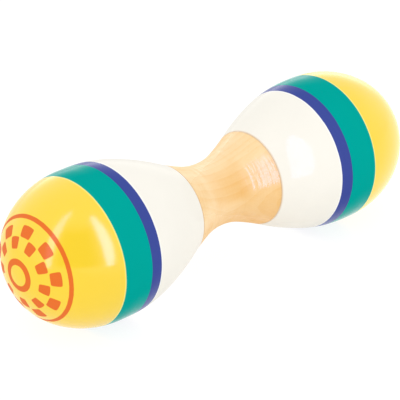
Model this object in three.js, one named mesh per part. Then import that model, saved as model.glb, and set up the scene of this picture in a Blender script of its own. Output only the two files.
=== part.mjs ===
// Double maraca: a turned wooden grip between two hollow rattle heads, lying along X with +Z up.
// Millimetres. The origin is the middle of the grip, on the axis that everything is turned about.
import * as THREE from 'three';

const { degToRad } = THREE.MathUtils;

// Outline of the turned body
const WAIST_RADIUS = 10.7;
const WAIST_ARC = 27; // hollow curve of the grip
const WAIST_TURN = degToRad(20.2); // slope at which the flank takes over from the hollow curve
const NECK_SLOPE = degToRad(26.9); // steepest slope, where the flank goes from hollow to round
const SHOULDER_TURN = degToRad(17.7); // slope at which the shoulder takes over from the flank
const SHOULDER_ARC = 47.2;
const HEAD_RADIUS = 25;
const EQUATOR_LENGTH = 3.2; // short cylinder where a head is widest, which it lies on
const DOME_SIDE_ARC = 31.8;
const DOME_SIDE_TURN = degToRad(30.6); // how far the side arc turns before the end arc takes over

// Joint between the grip and a head
const GRIP_RIGHT = 17.6; // bare wood on the right of the middle
const GRIP_LEFT = 16.3; // bare wood on the left of the middle
const TENON_RADIUS = 6;
const TENON_REACH = 25.2; // from the middle of the grip to the end of a tenon
const TENON_CHAMFER = 0.8;
const NECK_WEB = 3.5; // wood left between the tenon socket and the bead chamber

// Hollow head
const HEAD_WALL = 8;
const SPIGOT_WALL = 3.5;
const SPIGOT_LENGTH = 4;
const GLUE_GAP = 0.1; // round a tenon or a spigot
const END_GAP = 0.3; // beyond the end of a tenon or a spigot

// Beads, which lie in lanes along the floor of the chamber
const BEAD_RADIUS = 2.5;
const BEAD_GAP = 0.3; // to the chamber and to the next bead
const BEAD_LANES = 4;
const BEADS_PER_LANE = 2;

// Fineness of the turned surfaces
const SIDES = 48;
const WAIST_STEPS = 5;
const FLANK_STEPS = 3; // on each side of the steepest place
const SHOULDER_STEPS = 5;
const DOME_SIDE_STEPS = 4;
const DOME_END_STEPS = 7;
const HOLLOW_SIDE_STEPS = 2;
const HOLLOW_END_STEPS = 5;
const BEAD_SIDES = 12;
const BEAD_RINGS = 8;

// Colours
const GRIP_WOOD = 0xfcd093;
const BEAD_WOOD = 0xd9a86c;
const CREAM = 0xfaf7ee;
const YELLOW = 0xfed835;

// Stations along X and radii that follow from the sizes above
const waistEnd = WAIST_ARC * Math.sin(WAIST_TURN);
const waistEndRadius = WAIST_RADIUS + WAIST_ARC * (1 - Math.cos(WAIST_TURN));
const shoulderRadius = HEAD_RADIUS - SHOULDER_ARC * (1 - Math.cos(SHOULDER_TURN));
const flankRise = Math.cos(WAIST_TURN) + Math.cos(SHOULDER_TURN) - 2 * Math.cos(NECK_SLOPE);
const flankArc = (shoulderRadius - waistEndRadius) / flankRise;
const steepest = waistEnd + flankArc * (Math.sin(NECK_SLOPE) - Math.sin(WAIST_TURN));
const shoulderStart = steepest + flankArc * (Math.sin(NECK_SLOPE) - Math.sin(SHOULDER_TURN));
const equatorStart = shoulderStart + SHOULDER_ARC * Math.sin(SHOULDER_TURN);
const seam = equatorStart + EQUATOR_LENGTH;
const chamberRadius = HEAD_RADIUS - HEAD_WALL;
const spigotRadius = chamberRadius + SPIGOT_WALL;
const spigotEnd = seam - SPIGOT_LENGTH;
const socketFloor = TENON_REACH + END_GAP;
const chamberFloor = socketFloor + NECK_WEB;

const at = (station, radius) => new THREE.Vector2(radius, station);

// Outside radius of the turned body at a station between the middle and the seam
function bodyRadius(station) {
  if (station <= waistEnd) {
    return WAIST_RADIUS + WAIST_ARC - Math.sqrt(WAIST_ARC ** 2 - station ** 2);
  }
  if (station <= steepest) {
    const run = flankArc * Math.sin(WAIST_TURN) + station - waistEnd;
    return waistEndRadius + flankArc * Math.cos(WAIST_TURN) - Math.sqrt(flankArc ** 2 - run ** 2);
  }
  if (station <= shoulderStart) {
    const run = flankArc * Math.sin(SHOULDER_TURN) + shoulderStart - station;
    return shoulderRadius - flankArc * Math.cos(SHOULDER_TURN) + Math.sqrt(flankArc ** 2 - run ** 2);
  }
  if (station <= equatorStart) {
    return HEAD_RADIUS - SHOULDER_ARC + Math.sqrt(SHOULDER_ARC ** 2 - (equatorStart - station) ** 2);
  }
  return HEAD_RADIUS;
}

// Points of the body's outside from one station to a later one, a few on each arc
function bodyOutline(from, to) {
  const stations = [];
  const spread = (start, end, steps) => {
    for (let i = 0; i < steps; i += 1) stations.push(start + ((end - start) * i) / steps);
  };
  spread(0, waistEnd, WAIST_STEPS);
  spread(waistEnd, steepest, FLANK_STEPS);
  spread(steepest, shoulderStart, FLANK_STEPS);
  spread(shoulderStart, equatorStart, SHOULDER_STEPS);
  stations.push(equatorStart);
  const between = stations.filter((station) => station > from && station < to);
  return [from, ...between, to].map((station) => at(station, bodyRadius(station)));
}

// Points of a dome from its pole to the seam: an end arc about a point on the axis, then a side arc.
// The inset moves the whole curve inwards, for the hollow of the cap.
function domeOutline(inset, sideSteps, endSteps) {
  const sideCentre = HEAD_RADIUS - DOME_SIDE_ARC;
  const centreShift = -sideCentre / Math.cos(DOME_SIDE_TURN);
  const endCentre = seam + centreShift * Math.sin(DOME_SIDE_TURN);
  const endRadius = DOME_SIDE_ARC - centreShift - inset;
  const sideRadius = DOME_SIDE_ARC - inset;
  const points = [at(endCentre + endRadius, 0)];
  for (let i = 1; i < endSteps; i += 1) {
    const turn = Math.PI / 2 - ((Math.PI / 2 - DOME_SIDE_TURN) * i) / endSteps;
    points.push(at(endCentre + endRadius * Math.sin(turn), endRadius * Math.cos(turn)));
  }
  for (let i = sideSteps; i >= 0; i -= 1) {
    const turn = (DOME_SIDE_TURN * i) / sideSteps;
    points.push(at(seam + sideRadius * Math.sin(turn), sideCentre + sideRadius * Math.cos(turn)));
  }
  return points;
}

// Half of the grip, from its middle to the axis at the end of its tenon
function halfWaistProfile(gripEnd) {
  return [
    ...bodyOutline(0, gripEnd),
    at(gripEnd, TENON_RADIUS),
    at(TENON_REACH - TENON_CHAMFER, TENON_RADIUS),
    at(TENON_REACH, TENON_RADIUS - TENON_CHAMFER),
    at(TENON_REACH, 0),
  ];
}

function waistProfile() {
  const right = halfWaistProfile(GRIP_RIGHT);
  const left = halfWaistProfile(GRIP_LEFT).slice(1).map((point) => at(-point.y, point.x));
  return [...left.reverse(), ...right];
}

// Cup: tenon socket in the neck, flank and shoulder outside, stepped mouth and bored chamber inside
function cupProfile(gripEnd) {
  const socketRadius = TENON_RADIUS + GLUE_GAP;
  const mouthRadius = spigotRadius + GLUE_GAP;
  const mouthFloor = spigotEnd - END_GAP;
  return [
    at(socketFloor, 0),
    at(socketFloor, socketRadius),
    at(gripEnd, socketRadius),
    ...bodyOutline(gripEnd, seam),
    at(seam, mouthRadius),
    at(mouthFloor, mouthRadius),
    at(mouthFloor, chamberRadius),
    at(chamberFloor, chamberRadius),
    at(chamberFloor, 0),
  ];
}

// Cap: dome outside, spigot that enters the cup's mouth, and a hollow of even wall
function capProfile() {
  const hollow = domeOutline(HEAD_WALL, HOLLOW_SIDE_STEPS, HOLLOW_END_STEPS);
  const outside = domeOutline(0, DOME_SIDE_STEPS, DOME_END_STEPS).reverse();
  return [
    ...hollow,
    at(spigotEnd, chamberRadius),
    at(spigotEnd, spigotRadius),
    at(seam, spigotRadius),
    ...outside,
  ];
}

// Solid turned about X. Half a side of twist lays one flat of the equator straight down.
function turned(profile) {
  const geometry = new THREE.LatheGeometry(profile, SIDES, Math.PI / SIDES);
  geometry.rotateZ(-Math.PI / 2);
  return geometry;
}

function addPiece(parent, name, geometry, material) {
  const mesh = new THREE.Mesh(geometry, material);
  mesh.name = name;
  parent.add(mesh);
  return mesh;
}

const lacquer = (color) => new THREE.MeshStandardMaterial({ color, roughness: 0.3, metalness: 0 });
const bareWood = (color) => new THREE.MeshStandardMaterial({ color, roughness: 0.5, metalness: 0 });

// Beads of one head, in lanes side by side at the bottom of the chamber, midway along it
function addBeads(head, side) {
  const chamberFlat = chamberRadius * Math.cos(Math.PI / SIDES);
  const laneRadius = chamberFlat - BEAD_RADIUS - BEAD_GAP;
  const pitch = 2 * BEAD_RADIUS + BEAD_GAP;
  const laneStep = 2 * Math.asin(pitch / 2 / laneRadius);
  const innerEnd = chamberFloor + BEAD_RADIUS + BEAD_GAP;
  const laneMiddle = (innerEnd + seam) / 2;
  for (let lane = 0; lane < BEAD_LANES; lane += 1) {
    const angle = (lane - (BEAD_LANES - 1) / 2) * laneStep;
    for (let place = 0; place < BEADS_PER_LANE; place += 1) {
      const station = laneMiddle + (place - (BEADS_PER_LANE - 1) / 2) * pitch;
      const geometry = new THREE.SphereGeometry(BEAD_RADIUS, BEAD_SIDES, BEAD_RINGS);
      const name = `${side}_bead_${lane * BEADS_PER_LANE + place + 1}`;
      const bead = addPiece(head, name, geometry, bareWood(BEAD_WOOD));
      bead.position.set(station, laneRadius * Math.sin(angle), -laneRadius * Math.cos(angle));
    }
  }
}

// One head, built at the +X end. The left one is the same head turned half round Z.
function makeHead(side, gripEnd) {
  const head = new THREE.Group();
  addPiece(head, `${side}_cup`, turned(cupProfile(gripEnd)), lacquer(CREAM));
  addPiece(head, `${side}_cap`, turned(capProfile()), lacquer(YELLOW));
  addBeads(head, side);
  return head;
}

const maraca = new THREE.Group();
addPiece(maraca, 'waist', turned(waistProfile()), bareWood(GRIP_WOOD));
const rightHead = makeHead('right', GRIP_RIGHT);
const leftHead = makeHead('left', GRIP_LEFT);
leftHead.rotation.z = Math.PI;
maraca.add(rightHead, leftHead);

export default maraca;
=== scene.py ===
"""Looks of the double maraca: smooth turned pieces, lacquer, bare wood, beads and a white studio."""

from math import ceil, cos, pi, radians, sin, sqrt

import bpy
from bpy.props import FloatProperty, FloatVectorProperty, IntProperty, PointerProperty
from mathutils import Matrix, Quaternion, Vector


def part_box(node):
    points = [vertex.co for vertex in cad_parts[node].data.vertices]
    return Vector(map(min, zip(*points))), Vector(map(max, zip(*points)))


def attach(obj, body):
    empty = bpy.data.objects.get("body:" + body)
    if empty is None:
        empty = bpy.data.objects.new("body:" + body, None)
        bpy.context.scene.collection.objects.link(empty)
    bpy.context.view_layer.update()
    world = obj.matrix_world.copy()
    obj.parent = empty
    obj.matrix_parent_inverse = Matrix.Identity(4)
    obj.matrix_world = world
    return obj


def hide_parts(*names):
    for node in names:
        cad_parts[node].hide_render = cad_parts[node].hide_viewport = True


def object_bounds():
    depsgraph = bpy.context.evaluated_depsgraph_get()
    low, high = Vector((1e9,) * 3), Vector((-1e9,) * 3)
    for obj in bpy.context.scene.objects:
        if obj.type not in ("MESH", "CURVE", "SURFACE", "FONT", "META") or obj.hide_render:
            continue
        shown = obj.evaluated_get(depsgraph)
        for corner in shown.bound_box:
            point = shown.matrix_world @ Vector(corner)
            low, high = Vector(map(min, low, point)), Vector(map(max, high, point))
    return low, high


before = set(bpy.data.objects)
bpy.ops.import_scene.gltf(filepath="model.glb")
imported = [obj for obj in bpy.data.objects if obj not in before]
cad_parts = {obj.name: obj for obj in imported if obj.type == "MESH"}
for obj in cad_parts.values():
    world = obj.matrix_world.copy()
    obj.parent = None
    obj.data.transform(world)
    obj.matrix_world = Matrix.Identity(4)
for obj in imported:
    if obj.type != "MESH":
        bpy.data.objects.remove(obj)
CAD_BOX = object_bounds()

bl_info = {
    "name": "Double Maraca",
    "version": (1, 0, 0),
    "blender": (4, 5, 0),
    "location": "View3D > Sidebar > Maraca",
    "description": "Builds a turned, lacquered double maraca with loose beads and a white studio round it",
    "category": "Add Mesh",
}

SIDES = ("left", "right")
BEADS = [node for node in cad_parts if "_bead_" in node]
SHELL = "shell"
MM = 0.001
WHITE = (1.0, 1.0, 1.0, 1.0)


# Properties


def length(name, description, default):
    """A length, given in millimetres."""
    return FloatProperty(
        name=name, description=description, default=default * MM, unit="LENGTH", precision=5
    )


def angle(name, description, default):
    """An angle, given in degrees."""
    return FloatProperty(name=name, description=description, default=radians(default), subtype="ANGLE")


def amount(name, description, default, unit="NONE"):
    """A plain number, or a measure in the unit that is named."""
    return FloatProperty(name=name, description=description, default=default, unit=unit)


def count(name, description, default, least):
    """A whole number."""
    return IntProperty(name=name, description=description, default=default, min=least)


def colour(name, description, default):
    """A linear colour."""
    return FloatVectorProperty(
        name=name, description=description, default=default, size=3, min=0, max=1, subtype="COLOR"
    )


class MaracaSizes(bpy.types.PropertyGroup):
    """Outline and joints of the turned pieces, and the fineness of their meshes."""

    waist_radius: length("Waist radius", "Thinnest part of the grip", 10.7)
    waist_arc: length("Waist arc", "Radius of the grip's hollow curve", 27)
    waist_turn: angle("Waist turn", "Slope at which the flank takes over from the hollow curve", 20.2)
    neck_slope: angle("Neck slope", "Steepest slope, where the flank goes from hollow to round", 26.9)
    shoulder_turn: angle("Shoulder turn", "Slope at which the shoulder takes over from the flank", 17.7)
    shoulder_arc: length("Shoulder arc", "Radius of the curve from the flank to the widest ring", 47.2)
    head_radius: length("Head radius", "Radius of the widest ring", 25)
    dome_side_arc: length("Dome side arc", "Radius of the dome's sides", 31.8)
    dome_side_turn: angle("Dome side turn", "How far the side arc turns before the end arc", 30.6)
    head_wall: length("Head wall", "Thickness of the hollow head", 8)
    spigot_wall: length("Spigot wall", "Thickness of the ring on the cap that enters the cup", 3.5)
    tenon_radius: length("Tenon radius", "Round tenon at each end of the grip", 6)
    tenon_chamfer: length("Tenon chamfer", "Bevel on the end of a tenon", 0.8)
    glue_gap: length("Glue gap", "Room round a tenon or a spigot", 0.1)
    end_gap: length("End gap", "Room beyond the end of a tenon or a spigot", 0.3)
    neck_web: length("Neck web", "Wood between the tenon socket and the bead chamber", 3.5)
    eased_edge: length("Eased edge", "Rounding of the edges where the grip meets the heads", 0.3)
    eased_steps: count("Eased steps", "Faces across an eased edge", 5, 1)
    waver: length("Waver", "Depth of the hand-sanded unevenness", 0.03)
    bead_wear: length("Bead wear", "Depth of the dents that the beads have knocked in each other", 0.12)
    step: length("Outline step", "Distance between points along the turned outline", 0.4)
    sides: count("Sides", "Faces round a turned piece", 192, 24)
    crease: angle("Crease", "Edges that turn further than this stay sharp", 28)


class MaracaFinish(bpy.types.PropertyGroup):
    """Paint, print and wood."""

    cream: colour("Cream", "Lacquer on the cups", (0.95, 0.92, 0.84))
    blue: colour("Blue", "Narrow band", (0.053, 0.078, 0.33))
    teal: colour("Teal", "Wide band", (0.0, 0.384, 0.335))
    yellow: colour("Yellow", "Lacquer on the domes", (0.97, 0.67, 0.024))
    orange: colour("Orange", "Print round the poles", (0.84, 0.17, 0.022))
    primer: colour("Primer", "Undercoat that shows as a hairline beside the blue", (0.99, 0.99, 0.98))
    lemon: colour("Lemon", "First yellow coat, a hairline beside the teal", (1.0, 0.88, 0.22))
    # The stain colour also stands for painted shade in the joint groove.
    groove_stain_and_shade: colour("Stain", "Lacquer and dust in the groove where wood and head meet", (0.66, 0.39, 0.15))
    wood_light: colour("Light wood", "Early wood of the grip", (0.97, 0.71, 0.385))
    wood_dark: colour("Dark wood", "Late wood of the grip", (0.86, 0.48, 0.13))
    bead_light: colour("Light bead wood", "Early wood of the beads", (0.72, 0.42, 0.18))
    bead_dark: colour("Dark bead wood", "Late wood of the beads", (0.52, 0.25, 0.08))
    wood_rings: length("Year rings", "Spacing of the year rings in the grip and the heads", 2.4)
    bead_rings: length("Bead year rings", "Spacing of the year rings in the beads", 1.1)
    wood_roughness: amount("Grip roughness", "Dullness of the varnish on the grip", 0.18)
    wood_shine: amount("Grip shine", "Strength of the gloss on the grip", 0.48)
    bead_roughness: amount("Bead roughness", "Dullness of the beads", 0.5)
    bead_shine: amount("Bead shine", "Strength of the gloss on the beads", 0.4)
    joint_width: length("Joint width", "Reach of the stain on each side of a joint", 0.55)
    left_dome_line: length("Left dome line", "Edge of the yellow on the left head", 57.35)
    right_dome_line: length("Right dome line", "Edge of the yellow on the right head", 51.55)
    teal_width: length("Teal width", "Width of the teal band along the axis", 10.1)
    blue_width: length("Blue width", "Width of the blue band along the axis", 4.1)
    ring_reach: length("Print ring", "Middle of the plain ring, measured from the pole", 4.4)
    checks_reach: length("Print checks", "Middle of the chequered band, measured from the pole", 12.2)
    border_reach: length("Print border", "Middle of the outer ring, measured from the pole", 18.6)
    check_height: length("Check height", "Height of one of the two rows of checks", 3.9)
    check_pairs: count("Checks", "Printed checks in a row", 9, 3)
    stroke: length("Print stroke", "Width of the inner ring", 2.0)
    right_print: amount("Right print", "Size of the print on the right dome", 0.7)


class MaracaStage(bpy.types.PropertyGroup):
    """Camera, floor and light."""

    azimuth: angle("Azimuth", "Camera's turn round the maraca, from the front", -43.53)
    elevation: angle("Elevation", "Camera's height above the horizon", 26.71)
    distance: length("Distance", "Camera to the middle of the grip", 794.14)
    lens: amount("Lens", "Focal length in millimetres", 222.9, "CAMERA")
    aside: length("Aside", "How far the grip's middle lies right of the view's middle", 2.75)
    above: length("Above", "How far the grip's middle lies above the view's middle", 1.77)
    floor_reach: length("Floor reach", "Half the width of the floor", 6000)
    floor_glow: amount("Floor glow", "Floor's own brightness where it is seen", 0.88)
    floor_light: amount("Floor light", "Light that the floor itself sends to the maraca", 0.35)
    floor_shadow: amount("Floor shadow", "Share of the floor that shadows darken, where it is seen", 0.2)
    floor_bounce: amount("Floor bounce", "Share of the tent's light that the floor sends back", 0.6)
    floor_sheen: amount("Floor sheen", "Brightness added to the floor in the gloss, on the left", 0.15)
    floor_side: amount("Floor side sheen", "Brightness added to the floor in the gloss, on the right", 0.4)
    tent: amount("Tent", "Light from the white surroundings", 0.965)
    fill: amount("Fill", "Light added from the camera's side", 0.25)
    sheen: amount("Tent sheen", "Surroundings' brightness in the gloss", 1.6)
    side_sheen: amount("Side sheen", "Brightness added in the gloss on the right", 0.2)
    horizon: amount("Horizon", "Brightness added in the gloss low behind", 0.9)
    slot: amount("Tent slot", "Brightness of the opening at the camera", 0.2)
    slot_core: angle("Slot core", "Half width of the darkest part of the opening", 16)
    slot_edge: angle("Slot edge", "Half width of the whole opening", 44)
    slot_foot: angle("Slot foot", "Height above which the opening is fully dark", 4)
    slot_top: angle("Slot top", "Height at which the opening starts to fade", 48)
    slot_end: angle("Slot end", "Height at which the opening has faded", 75)
    strip_distance: length("Strip distance", "Strip lights to the maraca", 850)
    strip_width: length("Strip width", "Width of a strip light", 170)
    strip_height: length("Strip height", "Height of a strip light", 1700)
    strip_tint: colour("Strip tint", "Colour of the strip lights, which is cool", (0.52, 0.44, 1.0))
    right_turn: angle("Right turn", "Turn from the camera to the right strip", 39.1)
    left_turn: angle("Left turn", "Turn from the camera to the left strip", -41.5)
    right_rise: angle("Right rise", "Height of the right strip's middle above the horizon", 26)
    left_rise: angle("Left rise", "Height of the left strip's middle above the horizon", 33)
    right_lean: angle("Right lean", "How far the right strip's top leans to the left", 1.6)
    left_lean: angle("Left lean", "How far the left strip's top leans to the left", 3.5)
    right_strip: amount("Right strip", "Power in watts", 7.8, "POWER")
    left_strip: amount("Left strip", "Power in watts", 4.6, "POWER")


# Node helpers

# Places of the colour sockets on a Mix node, whose names other sockets share
MIX_FIRST = 6
MIX_SECOND = 7
MIX_RESULT = 2


class Nodes:
    """Adds nodes to one tree. A value is a number, a colour or another node's output."""

    def __init__(self, tree):
        self.tree = tree

    def add(self, kind, *values, **settings):
        """A new node with its settings, and its inputs fed in order."""
        node = self.tree.nodes.new(kind)
        for key, value in settings.items():
            setattr(node, key, value)
        for socket, value in zip(node.inputs, values):
            self.feed(socket, value)
        return node

    def feed(self, socket, value):
        """Links an output into a socket, or sets the socket's own value."""
        if isinstance(value, bpy.types.NodeSocket):
            self.tree.links.new(value, socket)
        else:
            socket.default_value = value

    def fill(self, node, **values):
        """A node with its inputs fed by name, where an underscore stands for a space."""
        for key, value in values.items():
            self.feed(node.inputs[key.replace("_", " ")], value)
        return node

    def group(self, make, **values):
        """Outputs of a shared shader group with its inputs fed by name."""
        node = self.add("ShaderNodeGroup", node_tree=shared_tree(make))
        return self.fill(node, **values).outputs

    def maths(self, operation, *values, clamp=False):
        """Output of a Math node."""
        return self.add("ShaderNodeMath", *values, operation=operation, use_clamp=clamp).outputs[0]

    def vector(self, operation, *values):
        """Output of a Vector Math node that gives a vector."""
        return self.add("ShaderNodeVectorMath", *values, operation=operation).outputs[0]

    def dot(self, first, second):
        """Dot product of two vectors."""
        return self.add("ShaderNodeVectorMath", first, second, operation="DOT_PRODUCT").outputs["Value"]

    def scaled(self, vector, factor):
        """A vector times a number."""
        node = self.add("ShaderNodeVectorMath", vector, operation="SCALE")
        return self.fill(node, Scale=factor).outputs[0]

    def apart(self, vector):
        """The X, Y and Z of a vector, by name."""
        return self.add("ShaderNodeSeparateXYZ", vector).outputs

    def off(self, value, middle):
        """How far a value lies from another, on either side."""
        return self.maths("ABSOLUTE", self.maths("SUBTRACT", value, middle))

    def across(self, first, second):
        """Length of the long side over two legs at a right angle."""
        squares = self.maths("MULTIPLY_ADD", first, first, self.maths("POWER", second, 2.0))
        return self.maths("SQRT", squares)

    def ramp(self, value, low, high, to_low=0.0, to_high=1.0):
        """Smooth step of a value from one limit to another."""
        node = self.add("ShaderNodeMapRange", value, low, high, to_low, to_high)
        node.interpolation_type = "SMOOTHSTEP"
        return node.outputs["Result"]

    def noise(self, vector, scale, detail=2.0, roughness=0.5):
        """Noise value from 0 to 1. The scale is the number of spots in a metre."""
        node = self.add("ShaderNodeTexNoise")
        return self.fill(node, Vector=vector, Scale=scale, Detail=detail, Roughness=roughness).outputs[0]

    def stretched_noise(self, vector, stretch, scale, detail=2.0, roughness=0.5):
        """Noise whose spots are drawn out where the stretch is less than 1."""
        return self.noise(self.vector("MULTIPLY", vector, stretch), scale, detail, roughness)

    def mix(self, factor, first, second):
        """Mix of two colours."""
        node = self.fill(self.add("ShaderNodeMix", data_type="RGBA"), Factor=factor)
        self.feed(node.inputs[MIX_FIRST], first)
        self.feed(node.inputs[MIX_SECOND], second)
        return node.outputs[MIX_RESULT]


def new_group(name, family, inputs, outputs):
    """An empty node group with sockets listed by kind. Returns its tree, helper, inputs and outputs."""
    tree = bpy.data.node_groups.new(name, f"{family}NodeTree")
    for way, kinds in (("INPUT", inputs), ("OUTPUT", outputs)):
        for kind, names in kinds.items():
            for socket in names:
                tree.interface.new_socket(socket, in_out=way, socket_type=f"NodeSocket{kind}")
    nodes = Nodes(tree)
    return tree, nodes, nodes.add("NodeGroupInput").outputs, nodes.add("NodeGroupOutput").inputs


def shared_tree(make):
    """A node group that is made once and then used again."""
    key = make.__name__
    for tree in bpy.data.node_groups:
        if tree.get("made_by") == key:
            return tree
    tree = make()
    tree["made_by"] = key
    return tree


def rgba(linear):
    """A colour with full alpha."""
    return (*linear, 1.0)


# Shader groups

# Wood
PITH_Y = -70 * MM
PITH_Z = -20 * MM
RING_DRIFT = 2.4  # rings by which the noise shifts a year ring
PAINTED_SHADE_FRONT = (0.0, -0.81, 0.59)  # side of the waist that gets painted shade

# Paint
PAINT_EDGE = 0.05 * MM
GLOSS_EDGE = 0.1 * MM
LIP_WIDTH = 0.3 * MM  # paint that stands up beside a masked line
CREAM_GLOSS = 0.22
BAND_GLOSS = 0.02
DOME_GLOSS = 1.0
CREAM_ROUGHNESS = 0.05
BAND_ROUGHNESS = 0.15
# Darkest share of the stain and painted groove shade at a joint
JOINT_STRENGTH = 0.5
BORDER_SHARE = 0.7  # the print's outer ring beside its inner ring

# Group inputs that are named like properties of the finish
COATS = ["Cream", "Blue", "Teal", "Yellow", "Primer", "Lemon"]
BAND_WIDTHS = ["Teal Width", "Blue Width"]
PRINT_SIZES = ["Ring Reach", "Checks Reach", "Border Reach", "Check Height", "Check Pairs", "Stroke"]


def wood_grain_and_shade_group():
    """Close-grained hardwood whose fibres run along X, with year rings about a far-off pith, and with
    painted shade low down and on the front of the waist.
    """
    tree, nodes, given, out = new_group(
        "Wood Grain",
        "Shader",
        {"Vector": ["Vector"], "Color": ["Light", "Dark"], "Float": ["Ring Spacing"]},
        {"Color": ["Color"], "Float": ["Height"]},
    )
    place = nodes.apart(given["Vector"])

    def fibres(stretch, scale, detail, roughness=0.5):
        """Noise drawn out along the grain."""
        return nodes.stretched_noise(given["Vector"], (stretch, 1.0, 1.0), scale, detail, roughness)

    from_pith = nodes.across(
        nodes.maths("SUBTRACT", place["Y"], PITH_Y),
        nodes.maths("SUBTRACT", place["Z"], PITH_Z),
    )
    rings = nodes.maths("DIVIDE", from_pith, given["Ring Spacing"])
    rings = nodes.maths("MULTIPLY_ADD", fibres(0.12, 90.0, 3.0), RING_DRIFT, rings)
    late_wood = nodes.ramp(nodes.maths("FRACT", rings), 0.35, 0.95)
    fibre = fibres(0.05, 1500.0, 4.0, 0.6)
    cloud = nodes.ramp(fibres(0.5, 120.0, 2.0), 0.3, 0.7)
    fleck = nodes.ramp(fibres(0.16, 2300.0, 1.0), 0.66, 0.74)
    # Painted shade: the wood is darker towards the bottom and towards +X.
    slanted = nodes.maths("MULTIPLY_ADD", place["X"], -0.35, place["Z"])
    painted_low_shade = nodes.ramp(slanted, -15 * MM, 10 * MM, 0.66, 0.0)
    # Painted shade on the front and top of the waist, where the grip is thinnest.
    painted_front_shade = nodes.ramp(nodes.dot(given["Vector"], PAINTED_SHADE_FRONT), 8 * MM, 10.7 * MM, 0.0, 0.38)
    at_waist = nodes.ramp(nodes.across(place["Y"], place["Z"]), 11 * MM, 12.2 * MM, 1.0, 0.0)
    shade = nodes.maths("MULTIPLY_ADD", painted_front_shade, at_waist, painted_low_shade)
    for mark, darkness in ((late_wood, 0.14), (fibre, 0.3), (cloud, 0.28)):
        shade = nodes.maths("MULTIPLY_ADD", mark, darkness, shade)
    shade = nodes.maths("SUBTRACT", shade, 0.1)
    shade = nodes.maths("MULTIPLY_ADD", fleck, 0.12, shade, clamp=True)
    nodes.feed(out["Color"], nodes.mix(shade, given["Light"], given["Dark"]))
    nodes.feed(out["Height"], nodes.maths("MULTIPLY_ADD", fleck, -0.6, fibre))
    return tree


def lacquer_film_group():
    """Sprayed gloss: slow waves, a fine peel and faint turning rings under the film."""
    tree, nodes, given, out = new_group(
        "Lacquer Film",
        "Shader",
        {"Vector": ["Vector"], "Float": ["Smoothest", "Dullest", "Turning"]},
        {"Float": ["Roughness", "Height"]},
    )
    waves = nodes.noise(given["Vector"], 170.0, 1.0)
    peel = nodes.noise(given["Vector"], 1100.0)
    turning = nodes.stretched_noise(given["Vector"], (1.0, 0.09, 0.09), 450.0)
    height = nodes.maths("MULTIPLY_ADD", peel, 0.12, waves)
    nodes.feed(out["Height"], nodes.maths("MULTIPLY_ADD", turning, given["Turning"], height))
    smear = nodes.noise(given["Vector"], 60.0, 3.0)
    nodes.feed(out["Roughness"], nodes.ramp(smear, 0.3, 0.7, given["Smoothest"], given["Dullest"]))
    return tree


def paint_bands_group():
    """Cream, blue, teal and yellow in turn along a head, with lines that waver a little."""
    tree, nodes, given, out = new_group(
        "Paint Bands",
        "Shader",
        {"Vector": ["Vector"], "Float": ["Dome Line", *BAND_WIDTHS], "Color": COATS},
        {"Color": ["Color"], "Float": ["Gloss", "Coat Roughness", "Blue Share", "Teal Share", "Lip"]},
    )
    waver = nodes.maths("SUBTRACT", nodes.noise(given["Vector"], 260.0), 0.5)
    station = nodes.maths("ABSOLUTE", nodes.apart(given["Vector"])["X"])
    station = nodes.maths("MULTIPLY_ADD", waver, 0.16 * MM, station)
    teal_line = nodes.maths("SUBTRACT", given["Dome Line"], given["Teal Width"])
    blue_line = nodes.maths("SUBTRACT", teal_line, given["Blue Width"])
    paint = given["Cream"]
    lip = 0.0
    past = {}
    covered = {}
    for name, line in (("Blue", blue_line), ("Teal", teal_line), ("Yellow", given["Dome Line"])):
        past[name] = nodes.maths("SUBTRACT", station, line)
        covered[name] = nodes.ramp(past[name], -PAINT_EDGE, PAINT_EDGE)
        paint = nodes.mix(covered[name], paint, given[name])
        near = nodes.ramp(nodes.maths("ABSOLUTE", past[name]), PAINT_EDGE, LIP_WIDTH, 1.0, 0.0)
        lip = nodes.maths("MAXIMUM", near, lip)
    beside_blue = nodes.ramp(nodes.off(past["Blue"], -0.25 * MM), PAINT_EDGE, 0.35 * MM, 0.9, 0.0)
    paint = nodes.mix(beside_blue, paint, given["Primer"])
    beside_teal = nodes.ramp(nodes.off(past["Yellow"], 0.2 * MM), PAINT_EDGE, 0.3 * MM, 0.8, 0.0)
    paint = nodes.mix(beside_teal, paint, given["Lemon"])

    def changed(name, before, after):
        """A value that goes from one to another where a band starts."""
        return nodes.ramp(past[name], -GLOSS_EDGE, GLOSS_EDGE, before, after)

    on_cup = changed("Blue", CREAM_GLOSS, BAND_GLOSS)
    on_dome = changed("Yellow", 0.0, DOME_GLOSS - BAND_GLOSS)
    nodes.feed(out["Color"], paint)
    nodes.feed(out["Gloss"], nodes.maths("ADD", on_cup, on_dome))
    nodes.feed(out["Coat Roughness"], changed("Blue", CREAM_ROUGHNESS, BAND_ROUGHNESS))
    nodes.feed(out["Blue Share"], nodes.maths("SUBTRACT", covered["Blue"], covered["Teal"]))
    nodes.feed(out["Teal Share"], nodes.maths("SUBTRACT", covered["Teal"], covered["Yellow"]))
    nodes.feed(out["Lip"], lip)
    return tree


def joint_line_group():
    """Thin dark line on both sides of the joint between the grip and a head: stain and painted shade in the
    groove.
    """
    tree, nodes, given, out = new_group(
        "Joint Line",
        "Shader",
        {"Vector": ["Vector"], "Float": ["Left", "Right", "Width"]},
        {"Float": ["Mask"]},
    )
    station = nodes.apart(given["Vector"])["X"]
    from_left = nodes.maths("ABSOLUTE", nodes.maths("ADD", station, given["Left"]))
    away = nodes.maths("MINIMUM", from_left, nodes.off(station, given["Right"]))
    nodes.feed(out["Mask"], nodes.ramp(away, 0.0, given["Width"], JOINT_STRENGTH, 0.0))
    return tree


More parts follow.
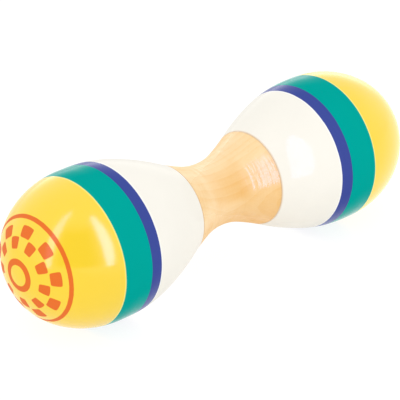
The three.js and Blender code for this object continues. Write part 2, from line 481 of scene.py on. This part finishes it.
def dome_print_group():
    """Mask of a plain ornament round a pole: ring, two rows of checks and a thin outer ring."""
    tree, nodes, given, out = new_group(
        "Dome Print",
        "Shader",
        {"Vector": ["Vector"], "Float": ["Dome Radius", "Size", *PRINT_SIZES]},
        {"Float": ["Mask"]},
    )
    place = nodes.apart(given["Vector"])
    radius = nodes.across(place["Y"], place["Z"])
    turn = nodes.maths("ARCTAN2", place["Z"], place["Y"])
    inner = nodes.maths("MINIMUM", nodes.maths("DIVIDE", radius, given["Dome Radius"]), 1.0)
    reach = nodes.maths("MULTIPLY", nodes.maths("ARCSINE", inner), given["Dome Radius"])
    ragged = nodes.maths("SUBTRACT", nodes.noise(given["Vector"], 700.0), 0.5)
    reach = nodes.maths("MULTIPLY_ADD", ragged, 0.18 * MM, reach)
    reach = nodes.maths("DIVIDE", reach, given["Size"])
    half_stroke = nodes.maths("MULTIPLY", given["Stroke"], 0.5)

    def inked(line, limit):
        """A ring about the pole, on both sides of a line."""
        past = nodes.maths("SUBTRACT", nodes.off(reach, line), limit)
        return nodes.ramp(past, -PAINT_EDGE, PAINT_EDGE, 1.0, 0.0)

    ring = inked(given["Ring Reach"], half_stroke)
    border = inked(given["Border Reach"], nodes.maths("MULTIPLY", half_stroke, BORDER_SHARE))
    column = nodes.maths("SINE", nodes.maths("MULTIPLY", turn, given["Check Pairs"]))
    row = nodes.maths("SUBTRACT", reach, given["Checks Reach"])
    row = nodes.maths("DIVIDE", row, given["Check Height"])
    row = nodes.maths("SINE", nodes.maths("MULTIPLY", row, pi))
    checks = nodes.ramp(nodes.maths("MULTIPLY", row, column), 0.02, 0.06)
    checks = nodes.maths("MULTIPLY", checks, inked(given["Checks Reach"], given["Check Height"]))
    mask = nodes.maths("MAXIMUM", nodes.maths("MAXIMUM", ring, border), checks)
    on_cap = nodes.maths("GREATER_THAN", nodes.maths("ABSOLUTE", place["X"]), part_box("right_cup")[1].x)
    nodes.feed(out["Mask"], nodes.maths("MULTIPLY", mask, on_cap))
    return tree


# Materials

BUMP_DEPTH = 0.03 * MM
VARNISH_SPREAD = 0.2  # share by which the varnish is duller or smoother in places
BARE_ROUGHNESS = 0.3  # added where a head is unpainted
PRINT_FLATNESS = 0.75  # gloss that the print takes away


def new_material(name):
    """A material with its node helper, its Principled shader and its Object coordinates."""
    material = bpy.data.materials.new(name)
    material.use_nodes = True
    nodes = Nodes(material.node_tree)
    shader = material.node_tree.nodes["Principled BSDF"]
    return material, nodes, shader, nodes.add("ShaderNodeTexCoord").outputs["Object"]


def bump(nodes, height, strength):
    """Normal of a surface with small heights on it."""
    node = nodes.add("ShaderNodeBump")
    return nodes.fill(node, Height=height, Distance=BUMP_DEPTH, Strength=strength).outputs[0]


def grained(nodes, finish, place, kind):
    """Outputs of the wood grain for one kind of wood, with the painted shade that the group adds."""
    light, dark, rings = (getattr(finish, f"{kind}_{key}") for key in ("light", "dark", "rings"))
    return nodes.group(
        wood_grain_and_shade_group, Vector=place, Light=rgba(light), Dark=rgba(dark), Ring_Spacing=rings
    )


def stained_and_shaded(nodes, finish, place, coat):
    """A colour with the dark line of the joints between grip and heads over it, which is stain and painted
    shade in the groove.
    """
    joint = nodes.group(
        joint_line_group,
        Vector=place,
        Left=neck("left"),
        Right=neck("right"),
        Width=finish.joint_width,
    )
    return nodes.mix(joint["Mask"], coat, rgba(finish.groove_stain_and_shade))


def wood_material(name, finish, kind):
    """Wood of one kind under a thin clear varnish, which looks duller at a slant."""
    material, nodes, shader, place = new_material(name)
    roughness = getattr(finish, f"{kind}_roughness")
    grain = grained(nodes, finish, place, kind)
    film = nodes.group(
        lacquer_film_group,
        Vector=place,
        Smoothest=roughness * (1 - VARNISH_SPREAD),
        Dullest=roughness * (1 + VARNISH_SPREAD),
        Turning=14.0,
    )
    facing = nodes.add("ShaderNodeLayerWeight").outputs["Facing"]
    dulled = nodes.ramp(facing, 0.45, 0.85, 0.0, 0.38)
    height = nodes.maths("MULTIPLY_ADD", grain["Height"], 0.1, film["Height"])
    nodes.fill(
        shader,
        Base_Color=stained_and_shaded(nodes, finish, place, grain["Color"]),
        Roughness=nodes.maths("ADD", film["Roughness"], dulled),
        Specular_IOR_Level=getattr(finish, f"{kind}_shine"),
        Normal=bump(nodes, height, 0.7),
    )
    return material


def head_material(name, finish, sizes, dome_line, print_size):
    """Gloss lacquer of one head outside, bare wood where the paint doesn't reach."""
    material, nodes, shader, place = new_material(name)

    def chosen(names):
        """Properties of the finish under the names of a group's inputs."""
        return {key: getattr(finish, key.lower().replace(" ", "_")) for key in names}

    coats = {key: rgba(value) for key, value in chosen(COATS).items()}
    widths = chosen(BAND_WIDTHS)
    bands = nodes.group(paint_bands_group, Vector=place, Dome_Line=dome_line, **widths, **coats)
    printed = nodes.group(
        dome_print_group,
        Vector=place,
        Dome_Radius=end_arc(sizes),
        Size=print_size,
        **chosen(PRINT_SIZES),
    )["Mask"]
    grain = grained(nodes, finish, place, "wood")
    film = nodes.group(lacquer_film_group, Vector=place, Smoothest=0.3, Dullest=0.45, Turning=0.1)

    # Colour, a little uneven, and bare wood where the paint attribute is 0
    depth = nodes.fill(
        nodes.add("ShaderNodeHueSaturation"),
        Color=nodes.mix(printed, bands["Color"], rgba(finish.orange)),
        Value=nodes.ramp(nodes.noise(place, 45.0, 3.0), 0.25, 0.75, 0.965, 1.0),
    )
    coat = stained_and_shaded(nodes, finish, place, depth.outputs[0])
    painted = nodes.add("ShaderNodeAttribute", attribute_name="paint").outputs["Fac"]
    bare = nodes.maths("SUBTRACT", 1.0, painted)

    # Gloss, which the bands have only at a slant
    facing = nodes.add("ShaderNodeLayerWeight").outputs["Facing"]
    on_blue = nodes.ramp(facing, 0.35, 0.75, 0.0, 0.5)
    on_teal = nodes.ramp(facing, 0.5, 1.0, 0.0, 0.72)
    gloss = nodes.maths("MULTIPLY", bands["Gloss"], nodes.ramp(facing, 0.55, 0.95, 1.0, 0.85))
    gloss = nodes.maths("MULTIPLY_ADD", bands["Blue Share"], on_blue, gloss)
    gloss = nodes.maths("MULTIPLY_ADD", bands["Teal Share"], on_teal, gloss)
    gloss = nodes.maths("MULTIPLY", gloss, nodes.maths("MULTIPLY_ADD", printed, -PRINT_FLATNESS, 1.0))
    height = nodes.maths("MULTIPLY_ADD", bands["Lip"], 0.5, film["Height"])
    height = nodes.maths("MULTIPLY_ADD", printed, 0.3, height)
    nodes.fill(
        shader,
        Base_Color=nodes.mix(painted, grain["Color"], coat),
        Roughness=nodes.maths("MULTIPLY_ADD", bare, BARE_ROUGHNESS, film["Roughness"]),
        Specular_IOR_Level=0.0,
        Coat_Weight=nodes.maths("MULTIPLY", painted, gloss),
        Coat_Roughness=bands["Coat Roughness"],
        Normal=bump(nodes, height, 0.5),
    )
    return material


# Turned outlines, as lists of (station along X, radius, painted share)


def end_arc(sizes):
    """Radius of the arc at a dome's pole, which meets the side arc smoothly."""
    return sizes.dome_side_arc - (sizes.dome_side_arc - sizes.head_radius) / cos(sizes.dome_side_turn)


def neck(side):
    """Station of the joint between the grip and one head, counted outwards from the middle."""
    return min(abs(corner.x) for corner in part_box(f"{side}_cup"))


class Outline:
    """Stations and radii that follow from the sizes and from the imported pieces."""

    def __init__(self, sizes):
        self.sizes = sizes
        self.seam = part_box("right_cup")[1].x
        self.spigot_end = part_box("right_cap")[0].x
        self.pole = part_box("right_cap")[1].x
        self.tenon_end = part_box("waist")[1].x
        s = sizes
        self.waist_end = s.waist_arc * sin(s.waist_turn)
        self.waist_end_radius = s.waist_radius + s.waist_arc * (1 - cos(s.waist_turn))
        self.shoulder_radius = s.head_radius - s.shoulder_arc * (1 - cos(s.shoulder_turn))
        rise = cos(s.waist_turn) + cos(s.shoulder_turn) - 2 * cos(s.neck_slope)
        self.flank_arc = (self.shoulder_radius - self.waist_end_radius) / rise
        self.steepest = self.waist_end + self.flank_arc * (sin(s.neck_slope) - sin(s.waist_turn))
        self.shoulder_start = self.steepest + self.flank_arc * (sin(s.neck_slope) - sin(s.shoulder_turn))
        self.equator_start = self.shoulder_start + s.shoulder_arc * sin(s.shoulder_turn)
        self.chamber = s.head_radius - s.head_wall

    def radius(self, station):
        """Outside radius between the middle of the grip and the seam."""
        s = self.sizes
        arc = self.flank_arc
        if station <= self.waist_end:
            return s.waist_radius + s.waist_arc - sqrt(s.waist_arc**2 - station**2)
        if station <= self.steepest:
            run = arc * sin(s.waist_turn) + station - self.waist_end
            return self.waist_end_radius + arc * cos(s.waist_turn) - sqrt(arc**2 - run**2)
        if station <= self.shoulder_start:
            run = arc * sin(s.shoulder_turn) + self.shoulder_start - station
            return self.shoulder_radius - arc * cos(s.shoulder_turn) + sqrt(arc**2 - run**2)
        if station <= self.equator_start:
            drop = self.equator_start - station
            return s.head_radius - s.shoulder_arc + sqrt(s.shoulder_arc**2 - drop**2)
        return s.head_radius

    def body(self, start, end):
        """Outside points from one station to a later one, evenly spaced."""
        steps = ceil((end - start) / self.sizes.step)
        stations = [start + (end - start) * i / steps for i in range(steps + 1)]
        return [(station, self.radius(station), 1.0) for station in stations]

    def dome(self, inset, painted):
        """Points of a dome, or of its hollow, from the pole to the seam."""
        s = self.sizes
        end_centre = self.pole - end_arc(s)
        end_radius = end_arc(s) - inset
        side_radius = s.dome_side_arc - inset
        side_centre = s.head_radius - s.dome_side_arc
        points = []
        steps = ceil(end_radius * (pi / 2 - s.dome_side_turn) / s.step)
        for i in range(steps):
            turn = pi / 2 - (pi / 2 - s.dome_side_turn) * i / steps
            radius = end_radius * cos(turn) if i else 0.0
            points.append((end_centre + end_radius * sin(turn), radius, painted))
        steps = ceil(side_radius * s.dome_side_turn / s.step)
        for i in range(steps, -1, -1):
            turn = s.dome_side_turn * i / steps
            radius = side_centre + side_radius * cos(turn)
            points.append((self.seam + side_radius * sin(turn), radius, painted))
        return points

    def eased(self, before, corner, after):
        """A corner rounded by a short curve between the points on both sides of it."""
        reach = self.sizes.eased_edge
        steps = self.sizes.eased_steps
        a, b, c = (Vector(point[:2]) for point in (before, corner, after))
        start = b + (a - b).normalized() * reach
        end = b + (c - b).normalized() * reach
        points = []
        for i in range(steps + 1):
            t = i / steps
            spot = start * (1 - t) ** 2 + b * (2 * t * (1 - t)) + end * t**2
            points.append((spot.x, spot.y, corner[2]))
        return points

    def half_grip(self, side):
        """The grip from its middle to the axis at the end of one tenon."""
        s = self.sizes
        outside = self.body(0.0, neck(side))
        shoulder = (neck(side), s.tenon_radius, 0.0)
        return [
            *outside[:-1],
            *self.eased(outside[-2], outside[-1], shoulder),
            shoulder,
            (self.tenon_end - s.tenon_chamfer, s.tenon_radius, 0.0),
            (self.tenon_end, s.tenon_radius - s.tenon_chamfer, 0.0),
            (self.tenon_end, 0.0, 0.0),
        ]

    def grip(self):
        """The whole grip, from the end of one tenon to the end of the other."""
        left = [(-station, radius, paint) for station, radius, paint in self.half_grip("left")[:0:-1]]
        return left + self.half_grip("right")

    def cup(self, side):
        """A head's body: socket, neck, flank, shoulder, stepped mouth and bead chamber."""
        s = self.sizes
        socket_floor = self.tenon_end + s.end_gap
        socket = s.tenon_radius + s.glue_gap
        mouth = self.chamber + s.spigot_wall + s.glue_gap
        mouth_floor = self.spigot_end - s.end_gap
        chamber_floor = socket_floor + s.neck_web
        outside = self.body(neck(side), self.seam)
        inner_edge = (neck(side), socket, 0.0)
        return [
            (socket_floor, 0.0, 0.0),
            (socket_floor, socket, 0.0),
            inner_edge,
            *self.eased(inner_edge, outside[0], outside[1]),
            *outside[1:],
            (self.seam, mouth, 0.0),
            (mouth_floor, mouth, 0.0),
            (mouth_floor, self.chamber, 0.0),
            (chamber_floor, self.chamber, 0.0),
            (chamber_floor, 0.0, 0.0),
        ]

    def cap(self):
        """A domed end with the spigot that enters the cup and an even hollow."""
        spigot = self.chamber + self.sizes.spigot_wall
        return [
            *self.dome(self.sizes.head_wall, 0.0),
            (self.spigot_end, self.chamber, 0.0),
            (self.spigot_end, spigot, 0.0),
            (self.seam, spigot, 0.0),
            *reversed(self.dome(0.0, 1.0)),
        ]


# Geometry nodes

WAVER_SCALE = 150.0  # spots of unevenness in a metre
WELD = 0.0005 * MM  # points closer than this are one
BALL_DETAIL = 5
DENT_SHIFT = 3.7  # how far apart two beads lie in the noise of dents


def dress(nodes, geometry, material, out):
    """The end of a tree: everything made real and given its material."""
    whole = nodes.add("GeometryNodeRealizeInstances", geometry).outputs[0]
    dressed = nodes.fill(nodes.add("GeometryNodeSetMaterial", whole), Material=material)
    nodes.feed(out["Geometry"], dressed.outputs[0])


def turned_piece_tree():
    """Turns a row of points (station, 0, radius) about X into a closed solid."""
    tree, nodes, given, out = new_group(
        "Turned Piece",
        "Geometry",
        {
            "Geometry": ["Geometry"],
            "Int": ["Sides"],
            "Float": ["Radius Scale", "Waver", "Crease"],
            "Material": ["Material"],
        },
        {"Geometry": ["Geometry"]},
    )

    # A flat grid with a row for each point of the outline
    outline = given["Geometry"]
    points = nodes.add("GeometryNodeAttributeDomainSize", outline, component="MESH").outputs["Point Count"]
    columns = nodes.maths("ADD", given["Sides"], 1)
    grid = nodes.add("GeometryNodeMeshGrid", 1.0, 1.0, points, columns).outputs["Mesh"]
    index = nodes.add("GeometryNodeInputIndex").outputs[0]
    row = nodes.maths("FLOOR", nodes.maths("DIVIDE", nodes.maths("ADD", index, 0.5), columns))
    column = nodes.maths("SUBTRACT", index, nodes.maths("MULTIPLY", row, columns))

    def from_outline(kind, value):
        """A value of the outline's point for each row."""
        sample = nodes.add("GeometryNodeSampleIndex", data_type=kind, domain="POINT")
        return nodes.fill(sample, Geometry=outline, Value=value, Index=row).outputs["Value"]

    position = nodes.add("GeometryNodeInputPosition").outputs[0]
    spot = nodes.apart(from_outline("FLOAT_VECTOR", position))
    named = nodes.add("GeometryNodeInputNamedAttribute", "paint", data_type="FLOAT")
    paint = from_outline("FLOAT", named.outputs["Attribute"])

    # The grid wound about the axis, with its outside a little uneven
    radius = nodes.maths("MULTIPLY", spot["Z"], given["Radius Scale"])
    bearing = nodes.maths("MULTIPLY", column, nodes.maths("DIVIDE", 2 * pi, given["Sides"]))
    turned_place = nodes.add(
        "ShaderNodeCombineXYZ",
        spot["X"],
        nodes.maths("MULTIPLY", radius, nodes.maths("SINE", bearing)),
        nodes.maths("MULTIPLY", radius, nodes.maths("COSINE", bearing)),
    ).outputs[0]
    inward = nodes.vector("NORMALIZE", nodes.vector("MULTIPLY", turned_place, (0.0, -1.0, -1.0)))
    depth = nodes.maths("MULTIPLY", nodes.noise(turned_place, WAVER_SCALE, 1.0), given["Waver"])
    sunk = nodes.scaled(inward, nodes.maths("MULTIPLY", depth, paint))
    placed = nodes.fill(nodes.add("GeometryNodeSetPosition", grid), Position=turned_place, Offset=sunk)
    store = nodes.add("GeometryNodeStoreNamedAttribute", placed.outputs[0], data_type="FLOAT")
    nodes.fill(store, Name="paint", Value=paint)

    # Closed round and at the poles, smooth but for the sharp edges
    closed = nodes.fill(nodes.add("GeometryNodeMergeByDistance", store.outputs[0]), Distance=WELD)
    smooth = nodes.add("GeometryNodeSetShadeSmooth", closed.outputs[0], domain="FACE")
    edge_turn = nodes.add("GeometryNodeInputMeshEdgeAngle").outputs[0]
    crease = nodes.maths("GREATER_THAN", edge_turn, given["Crease"])
    sharp = nodes.add("GeometryNodeSetShadeSmooth", smooth.outputs[0], domain="EDGE")
    nodes.fill(sharp, Selection=crease, Shade_Smooth=False)
    dress(nodes, sharp.outputs[0], given["Material"], out)
    return tree


def rattle_bead_tree():
    """A tumbled wooden ball on each point, worn a little out of round."""
    tree, nodes, given, out = new_group(
        "Rattle Bead",
        "Geometry",
        {"Geometry": ["Geometry"], "Float": ["Radius", "Wear"], "Int": ["Seed"], "Material": ["Material"]},
        {"Geometry": ["Geometry"]},
    )
    ball = nodes.add("GeometryNodeMeshIcoSphere", given["Radius"], BALL_DETAIL).outputs["Mesh"]
    dents = nodes.add("ShaderNodeTexNoise", noise_dimensions="4D")
    nodes.fill(dents, W=nodes.maths("MULTIPLY", given["Seed"], DENT_SHIFT), Scale=260.0)
    depth = nodes.maths("MULTIPLY", dents.outputs[0], given["Wear"])
    normal = nodes.add("GeometryNodeInputNormal").outputs[0]
    sunk = nodes.scaled(normal, nodes.maths("MULTIPLY", depth, -1.0))
    shaped = nodes.fill(nodes.add("GeometryNodeSetPosition", ball), Offset=sunk)
    smooth = nodes.add("GeometryNodeSetShadeSmooth", shaped.outputs[0], domain="FACE")
    placed = nodes.add("GeometryNodeInstanceOnPoints", given["Geometry"])
    nodes.fill(placed, Instance=smooth.outputs[0])
    dress(nodes, placed.outputs[0], given["Material"], out)
    return tree


def grown(name, points, tree, paint=None, **values):
    """An object whose mesh is what a node tree makes of a row of points, with no modifier left on it."""
    edges = [(i, i + 1) for i in range(len(points) - 1)]
    mesh = bpy.data.meshes.new(name)
    mesh.from_pydata(points, edges, [])
    if paint:
        mesh.attributes.new("paint", "FLOAT", "POINT").data.foreach_set("value", paint)
    piece = bpy.data.objects.new(name, mesh)
    bpy.context.scene.collection.objects.link(piece)
    modifier = piece.modifiers.new(tree.name, "NODES")
    modifier.node_group = tree
    for key, value in values.items():
        modifier[tree.interface.items_tree[key.replace("_", " ")].identifier] = value
    depsgraph = bpy.context.evaluated_depsgraph_get()
    made = bpy.data.meshes.new_from_object(
        piece.evaluated_get(depsgraph), preserve_all_data_layers=True, depsgraph=depsgraph
    )
    piece.modifiers.clear()
    piece.data = made
    bpy.data.meshes.remove(mesh)
    made.name = name
    if not made.polygons:
        raise RuntimeError(f"{name} came out empty")
    return piece


def turned(name, outline, material, sizes, mirrored=False):
    """One turned piece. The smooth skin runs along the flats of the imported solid."""
    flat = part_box("right_cup")[1].z / sizes.head_radius
    if mirrored:
        outline = [(-station, radius, share) for station, radius, share in reversed(outline)]
    rows = [(station, 0.0, radius) for station, radius, _ in outline]
    paint = [share for _, _, share in outline]
    return grown(
        name,
        rows,
        shared_tree(turned_piece_tree),
        paint,
        Sides=sizes.sides,
        Radius_Scale=flat,
        Waver=sizes.waver,
        Crease=sizes.crease,
        Material=material,
    )


def head_finish(side):
    """The lacquer of one head, made once for its cup and its cap."""
    name = f"{side}_head_lacquer"
    made = bpy.data.materials.get(name)
    if made:
        return made
    finish = bpy.context.scene.maraca_finish
    line = getattr(finish, f"{side}_dome_line")
    size = finish.right_print if side == "right" else 1.0
    return head_material(name, finish, bpy.context.scene.maraca_sizes, line, size)


def settle(piece, node, body):
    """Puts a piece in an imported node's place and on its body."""
    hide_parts(node)
    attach(piece, body)


# Operators


class MARACA_OT_grip(bpy.types.Operator):
    """Turn the bare wooden grip with its two tenons"""

    bl_idname = "maraca.grip"
    bl_label = "Grip"

    def execute(self, context):
        sizes = context.scene.maraca_sizes
        wood = wood_material("grip_wood", context.scene.maraca_finish, "wood")
        settle(turned("grip", Outline(sizes).grip(), wood, sizes), "waist", SHELL)
        return {"FINISHED"}


class MARACA_OT_cups(bpy.types.Operator):
    """Turn the two hollow head bodies, cream with a blue and a teal band"""

    bl_idname = "maraca.cups"
    bl_label = "Cups"

    def execute(self, context):
        sizes = context.scene.maraca_sizes
        for side in SIDES:
            outline = Outline(sizes).cup(side)
            cup = turned(f"{side}_head_body", outline, head_finish(side), sizes, side == "left")
            settle(cup, f"{side}_cup", SHELL)
        return {"FINISHED"}


class MARACA_OT_caps(bpy.types.Operator):
    """Turn the two domed ends, yellow with a printed ornament round the pole"""

    bl_idname = "maraca.caps"
    bl_label = "Caps"

    def execute(self, context):
        sizes = context.scene.maraca_sizes
        for side in SIDES:
            outline = Outline(sizes).cap()
            cap = turned(f"{side}_head_dome", outline, head_finish(side), sizes, side == "left")
            settle(cap, f"{side}_cap", SHELL)
        return {"FINISHED"}


class MARACA_OT_beads(bpy.types.Operator):
    """Put a worn wooden ball in the place of each loose bead"""

    bl_idname = "maraca.beads"
    bl_label = "Beads"

    def execute(self, context):
        wood = wood_material("bead_wood", context.scene.maraca_finish, "bead")
        for seed, node in enumerate(BEADS):
            low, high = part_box(node)
            ball = grown(
                f"{node}_ball",
                [(low + high) / 2],
                shared_tree(rattle_bead_tree),
                Radius=(high.z - low.z) / 2,
                Wear=context.scene.maraca_sizes.bead_wear,
                Seed=seed,
                Material=wood,
            )
            settle(ball, node, node)
        return {"FINISHED"}


class MARACA_OT_stage(bpy.types.Operator):
    """Set the white floor, the light tent with its two strip lights, and the camera"""

    bl_idname = "maraca.stage"
    bl_label = "Stage"

    def execute(self, context):
        stage = context.scene.maraca_stage
        context.scene.view_settings.view_transform = "Standard"
        make_floor(stage)
        make_tent(context.scene, stage)
        make_strip(stage, "right")
        make_strip(stage, "left")
        make_camera(context.scene, stage)
        return {"FINISHED"}


# Stage


def bearing_vector(azimuth, elevation):
    """Direction from the maraca to something at an azimuth and an elevation. Azimuth 0 is at -Y."""
    return Vector((sin(azimuth) * cos(elevation), -cos(azimuth) * cos(elevation), sin(elevation)))


def right_vector(stage):
    """Direction to the right as the camera sees it, level with the floor."""
    return Vector((cos(stage.azimuth), sin(stage.azimuth), 0.0))


def ray_masks(nodes):
    """Two masks: one for rays from the camera or through glass, one for rays off a gloss."""
    path = nodes.add("ShaderNodeLightPath").outputs
    direct = nodes.maths("MAXIMUM", path["Is Camera Ray"], path["Is Transmission Ray"])
    return direct, path["Is Glossy Ray"]


def make_floor(stage):
    """A wide white light table under the heads, which keeps a faint shadow."""
    half = stage.floor_reach
    low = CAD_BOX[0].z
    corners = [(-half, -half, low), (half, -half, low), (half, half, low), (-half, half, low)]
    mesh = bpy.data.meshes.new("floor")
    mesh.from_pydata(corners, [], [(0, 1, 2, 3)])
    floor = bpy.data.objects.new("floor", mesh)
    bpy.context.scene.collection.objects.link(floor)
    material = bpy.data.materials.new("white_floor")
    material.use_nodes = True
    tree = material.node_tree
    tree.nodes.remove(tree.nodes["Principled BSDF"])
    nodes = Nodes(tree)
    direct, glossy = ray_masks(nodes)
    seen = nodes.maths("MAXIMUM", direct, glossy)
    share = nodes.ramp(seen, 0.0, 1.0, stage.floor_bounce, stage.floor_shadow)
    place = nodes.add("ShaderNodeTexCoord").outputs["Object"]
    sideways = nodes.dot(place, right_vector(stage))
    side_sheen = stage.floor_side + stage.side_sheen
    sheen = nodes.ramp(sideways, -20 * MM, 90 * MM, stage.floor_sheen, side_sheen)
    glow = nodes.ramp(seen, 0.0, 1.0, stage.floor_light, stage.floor_glow)
    glow = nodes.maths("MULTIPLY_ADD", glossy, sheen, glow)
    shaded = nodes.add("ShaderNodeBsdfDiffuse", share).outputs[0]
    lit = nodes.add("ShaderNodeEmission", WHITE, glow).outputs[0]
    whole = nodes.add("ShaderNodeAddShader", shaded, lit).outputs[0]
    nodes.fill(tree.nodes["Material Output"], Surface=whole)
    mesh.materials.append(material)


def make_tent(scene, stage):
    """White surroundings, with a dark opening towards the camera that only the gloss sees."""
    world = bpy.data.worlds.new("light_tent")
    world.use_nodes = True
    nodes = Nodes(world.node_tree)
    direction = nodes.add("ShaderNodeTexCoord").outputs["Generated"]
    height = nodes.apart(direction)["Z"]
    facing = nodes.dot(direction, bearing_vector(stage.azimuth, 0.0))
    sideways = nodes.dot(direction, right_vector(stage))

    # Opening, as wide at every height. A little over 1 keeps the divisor above 0 straight up.
    level = nodes.maths("SQRT", nodes.maths("SUBTRACT", 1.0001, nodes.maths("MULTIPLY", height, height)))
    ahead = nodes.maths("DIVIDE", facing, level)
    opening = nodes.ramp(ahead, cos(stage.slot_edge), cos(stage.slot_core))
    below_top = nodes.ramp(height, sin(stage.slot_top), sin(stage.slot_end), 1.0, 0.0)
    opening = nodes.maths("MULTIPLY", opening, below_top)
    opening = nodes.maths("MULTIPLY", opening, nodes.ramp(height, 0.0, sin(stage.slot_foot)))

    # Brightness in the gloss
    beside = nodes.ramp(sideways, 0.3, 0.9, 0.0, stage.side_sheen)
    behind = nodes.ramp(facing, -0.99, -0.85, stage.horizon, 0.0)
    sheen = nodes.maths("MULTIPLY_ADD", beside, nodes.ramp(height, 0.05, 0.4, -0.4, 1.0), stage.sheen)
    sheen = nodes.maths("MULTIPLY_ADD", behind, nodes.ramp(height, 0.05, 0.4, 1.0, 0.0), sheen)
    sheen = nodes.maths("MULTIPLY_ADD", opening, stage.slot - stage.sheen, sheen)

    # Brightness as light and as plain white background
    direct, glossy = ray_masks(nodes)
    soft = nodes.ramp(facing, 0.0, 1.0, stage.tent, stage.tent + stage.fill)
    strength = nodes.maths("MULTIPLY_ADD", direct, nodes.maths("SUBTRACT", 1.0, soft), soft)
    mirrored = nodes.maths("MULTIPLY", glossy, nodes.maths("SUBTRACT", sheen, strength))
    background = world.node_tree.nodes["Background"]
    nodes.fill(background, Color=WHITE, Strength=nodes.maths("ADD", strength, mirrored))
    scene.world = world


def make_strip(stage, side):
    """A tall strip light beside the camera, turned to the maraca, seen in the gloss only."""
    turn, rise, lean, power = (getattr(stage, f"{side}_{key}") for key in ("turn", "rise", "lean", "strip"))
    light = bpy.data.lights.new(f"{side}_strip", "AREA")
    light.shape = "ELLIPSE"
    light.size = stage.strip_width
    light.size_y = stage.strip_height
    light.energy = power
    light.color = stage.strip_tint
    towards = bearing_vector(stage.azimuth + turn, rise)
    roll = Quaternion((0.0, 0.0, 1.0), lean)
    strip = bpy.data.objects.new(f"{side}_strip", light)
    strip.location = towards * stage.strip_distance
    strip.rotation_euler = (towards.to_track_quat("Z", "Y") @ roll).to_euler()
    strip.visible_camera = False
    strip.visible_diffuse = False
    bpy.context.scene.collection.objects.link(strip)


def make_camera(scene, stage):
    """The camera at the photograph's angle, with no shift and no depth of field."""
    back = bearing_vector(stage.azimuth, stage.elevation)
    right = right_vector(stage)
    up = back.cross(right)
    data = bpy.data.cameras.new("camera")
    data.sensor_width = 36.0
    data.lens = stage.lens
    data.clip_start = 0.01
    data.clip_end = 50.0
    camera = bpy.data.objects.new("camera", data)
    camera.location = back * stage.distance - right * stage.aside - up * stage.above
    camera.rotation_euler = back.to_track_quat("Z", "Y").to_euler()
    scene.collection.objects.link(camera)
    scene.camera = camera


# Panel


class MARACA_PT_panel(bpy.types.Panel):
    """Sizes, finish, stage and the steps that build the maraca"""

    bl_idname = "MARACA_PT_panel"
    bl_label = "Double Maraca"
    bl_space_type = "VIEW_3D"
    bl_region_type = "UI"
    bl_category = "Maraca"

    def draw(self, context):
        for operator in OPERATORS:
            self.layout.operator(operator.bl_idname)
        scene = context.scene
        for group in (scene.maraca_sizes, scene.maraca_finish, scene.maraca_stage):
            column = self.layout.box().column()
            for key in group.bl_rna.properties.keys():
                if key not in ("rna_type", "name"):
                    column.prop(group, key)


OPERATORS = (MARACA_OT_grip, MARACA_OT_cups, MARACA_OT_caps, MARACA_OT_beads, MARACA_OT_stage)
CLASSES = (MaracaSizes, MaracaFinish, MaracaStage, *OPERATORS, MARACA_PT_panel)


def register():
    """Adds the classes and the scene's three groups of properties."""
    for cls in CLASSES:
        bpy.utils.register_class(cls)
    bpy.types.Scene.maraca_sizes = PointerProperty(type=MaracaSizes)
    bpy.types.Scene.maraca_finish = PointerProperty(type=MaracaFinish)
    bpy.types.Scene.maraca_stage = PointerProperty(type=MaracaStage)


def unregister():
    """Takes away what register added."""
    del bpy.types.Scene.maraca_stage
    del bpy.types.Scene.maraca_finish
    del bpy.types.Scene.maraca_sizes
    for cls in reversed(CLASSES):
        bpy.utils.unregister_class(cls)


def main():
    """Builds the maraca and its stage."""
    register()
    bpy.ops.maraca.grip()
    bpy.ops.maraca.cups()
    bpy.ops.maraca.caps()
    bpy.ops.maraca.beads()
    bpy.ops.maraca.stage()


if __name__ == "__main__":
    main()
